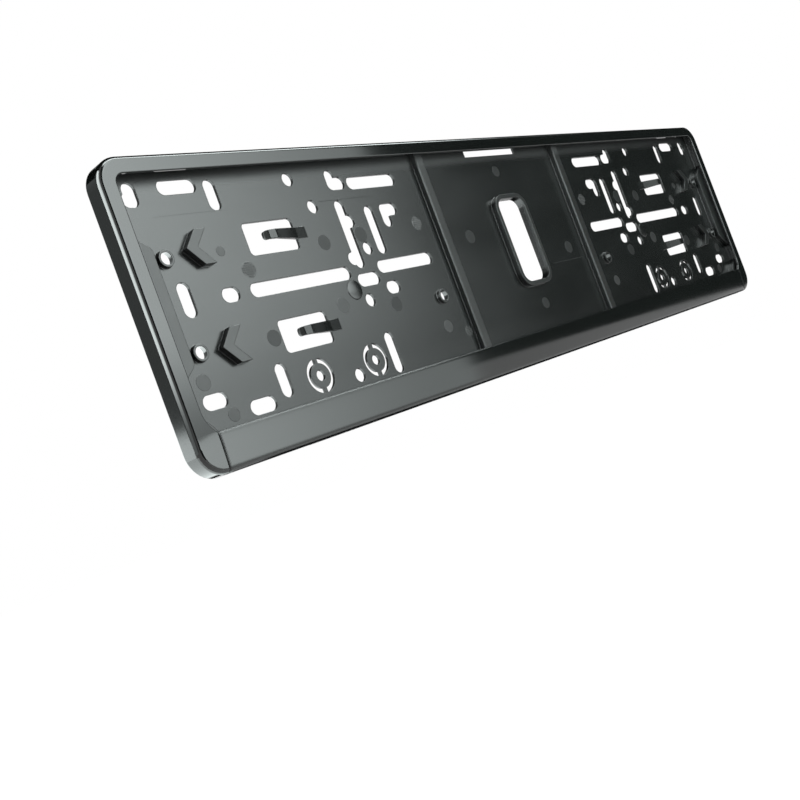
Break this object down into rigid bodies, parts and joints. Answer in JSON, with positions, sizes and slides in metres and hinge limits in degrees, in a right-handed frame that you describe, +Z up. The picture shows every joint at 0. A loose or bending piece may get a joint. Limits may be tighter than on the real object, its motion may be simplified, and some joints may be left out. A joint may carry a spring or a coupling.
{
  "type": "number plate holder",
  "caption": "Long shallow black plastic tray with a lipped border, a slotted back panel and a clip-on bottom strip, which holds a vehicle's number plate.",
  "frame": {"origin": "middle of the plate's pocket, on the back face of the panel, midway between the two long middle fixing slots", "axes": "+X along the plate, to the right seen from the front; +Z up; the front faces -Y"},
  "size_m": [0.533, 0.0095, 0.1317],
  "materials": {
    "black_plastic": "glossy injection-moulded black"
  },
  "bodies": {
    "root": {"carrier_frame": "black_plastic", "retaining_strip": "black_plastic"}
  },
  "joints": []
}
